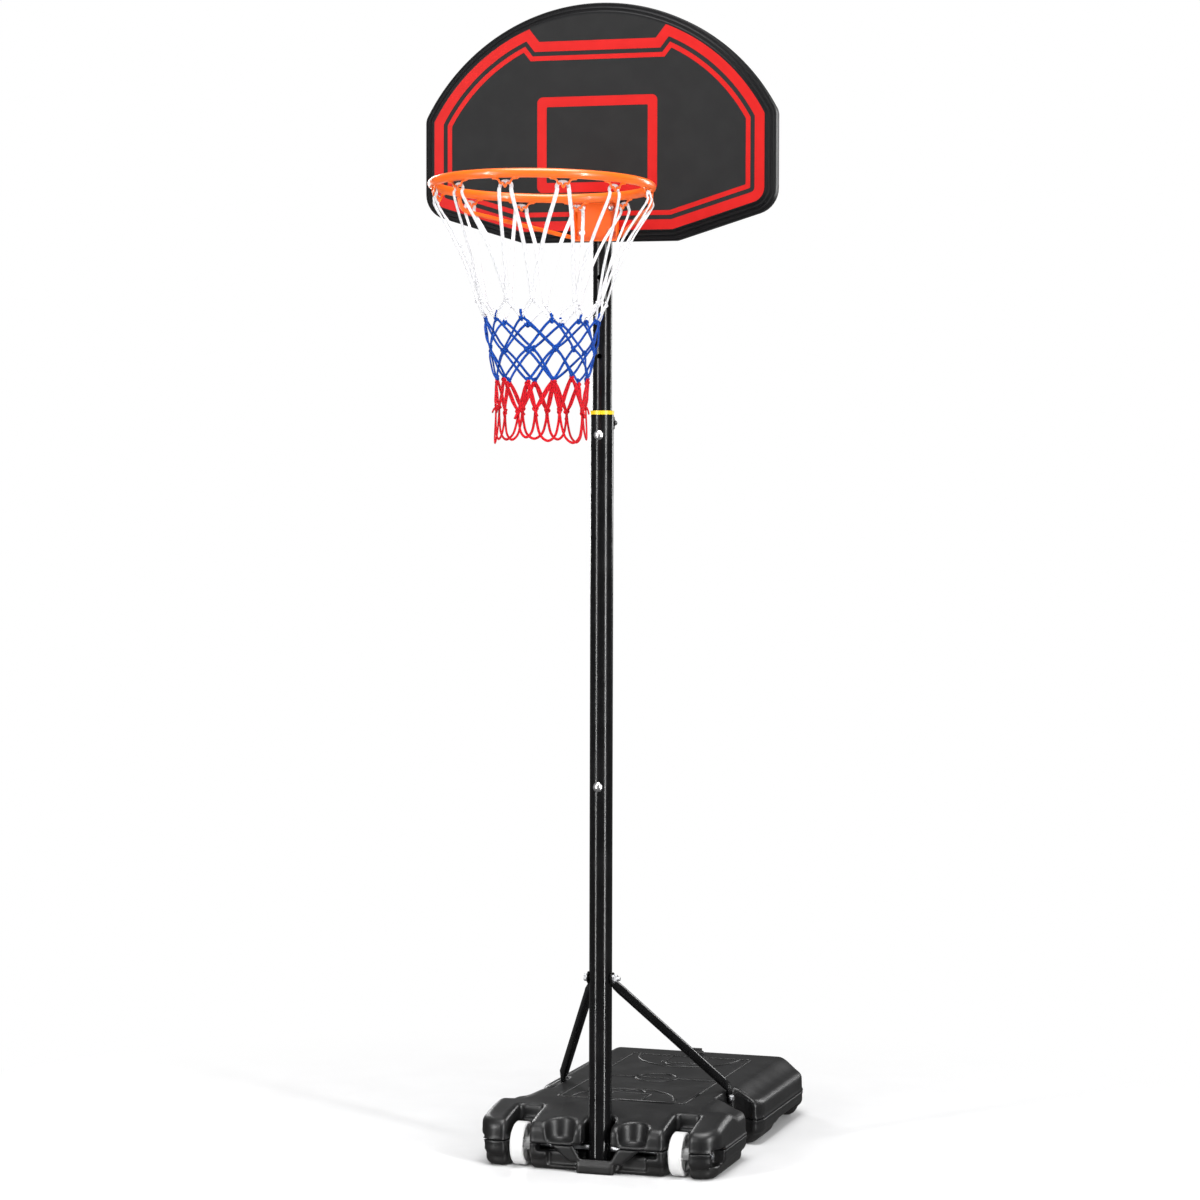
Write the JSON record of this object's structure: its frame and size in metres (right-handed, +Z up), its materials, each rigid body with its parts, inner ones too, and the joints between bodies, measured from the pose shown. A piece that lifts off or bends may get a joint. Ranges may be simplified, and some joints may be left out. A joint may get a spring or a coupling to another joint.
{
  "type": "portable basketball hoop",
  "caption": "Free-standing basketball hoop: a wheeled tank base, braced telescoping pole, arched board, and a bracket-mounted ring with a knotted net.",
  "frame": {"origin": "on the floor under the pole's axis", "axes": "+Z up along the pole, -Y from the pole towards the ring and the court, +X to the right as a player faces the board"},
  "size_m": [0.71, 1.2743, 2.274],
  "materials": {
    "tank_plastic": "moulded pebble texture, soft sheen",
    "board_plastic": "fine moulded grain with a glossier border",
    "black_paint": "gloss black powder coat",
    "orange_paint": "gloss orange powder coat",
    "chromed_steel": "bright plated",
    "zinc_steel": "zinc plated",
    "white_plastic": "smooth moulded",
    "yellow_plastic": "smooth moulded",
    "bush_plastic": "smooth moulded",
    "black_trim": "smooth moulded",
    "rubber": "soft",
    "ballast": "fill, never seen",
    "net_cord": "braided cord in white, blue and red bands"
  },
  "bodies": {
    "base": {"base_tank": "tank_plastic", "ballast_fill": "ballast", "wheel_axle": "zinc_steel", "axle_push_nuts": "zinc_steel", "pole_foot_plug": "black_trim", "pole_lower": "black_paint", "pole_middle": "black_paint", "joint_bolt": "chromed_steel", "joint_nut": "zinc_steel", "height_bolt": "chromed_steel", "guide_collar": "yellow_plastic", "clamp_boss": "black_paint", "strut_left": "black_paint", "strut_right": "black_paint", "strut_bolt": "zinc_steel", "strut_washers": "zinc_steel", "strut_nut": "zinc_steel", "strut_foot_screws": "zinc_steel"},
    "cap": {"filler_cap": "tank_plastic", "filler_gasket": "rubber"},
    "left_wheel": {"wheel_left": "white_plastic"},
    "right_wheel": {"wheel_right": "white_plastic"},
    "knob": {"clamp_knob": "black_trim", "clamp_screw": "zinc_steel"},
    "head": {"pole_upper": "black_paint", "slide_bush": "bush_plastic", "pole_top_cap": "black_trim", "backboard": "board_plastic", "board_frame": "board_plastic", "board_ribs": "board_plastic", "pole_bracket": "black_paint", "cross_bolts": "zinc_steel", "cross_nuts": "zinc_steel", "pole_strap": "black_paint", "strap_screws": "zinc_steel", "rim_bracket": "orange_paint", "rim_bolts": "chromed_steel", "rim_washers": "zinc_steel", "rim_nuts": "zinc_steel", "rim_ring": "orange_paint", "brace_left": "orange_paint", "brace_right": "orange_paint", "net_hooks": "orange_paint", "net": "net_cord"}
  },
  "joints": [
    {"name": "height_slide", "type": "slide", "parent": "base", "child": "head", "axis": [0, 0, 1], "range_m": [-0.3048, 0.3048]},
    {"name": "left_wheel_spin", "type": "hinge", "parent": "base", "child": "left_wheel", "pos_m": [-0.163, 0.003, 0.044], "axis": [1, 0, 0], "continuous": true},
    {"name": "right_wheel_spin", "type": "hinge", "parent": "base", "child": "right_wheel", "pos_m": [0.163, 0.003, 0.044], "axis": [1, 0, 0], "continuous": true},
    {"name": "clamp_knob_turn", "type": "hinge", "parent": "base", "child": "knob", "pos_m": [0, 0.04, 1.467], "axis": [0, 1, 0], "range_deg": [0, 270]},
    {"name": "filler_cap_turn", "type": "hinge", "parent": "base", "child": "cap", "pos_m": [0, 0.66, 0.12], "axis": [0, 0, 1], "range_deg": [0, 360]}
  ]
}
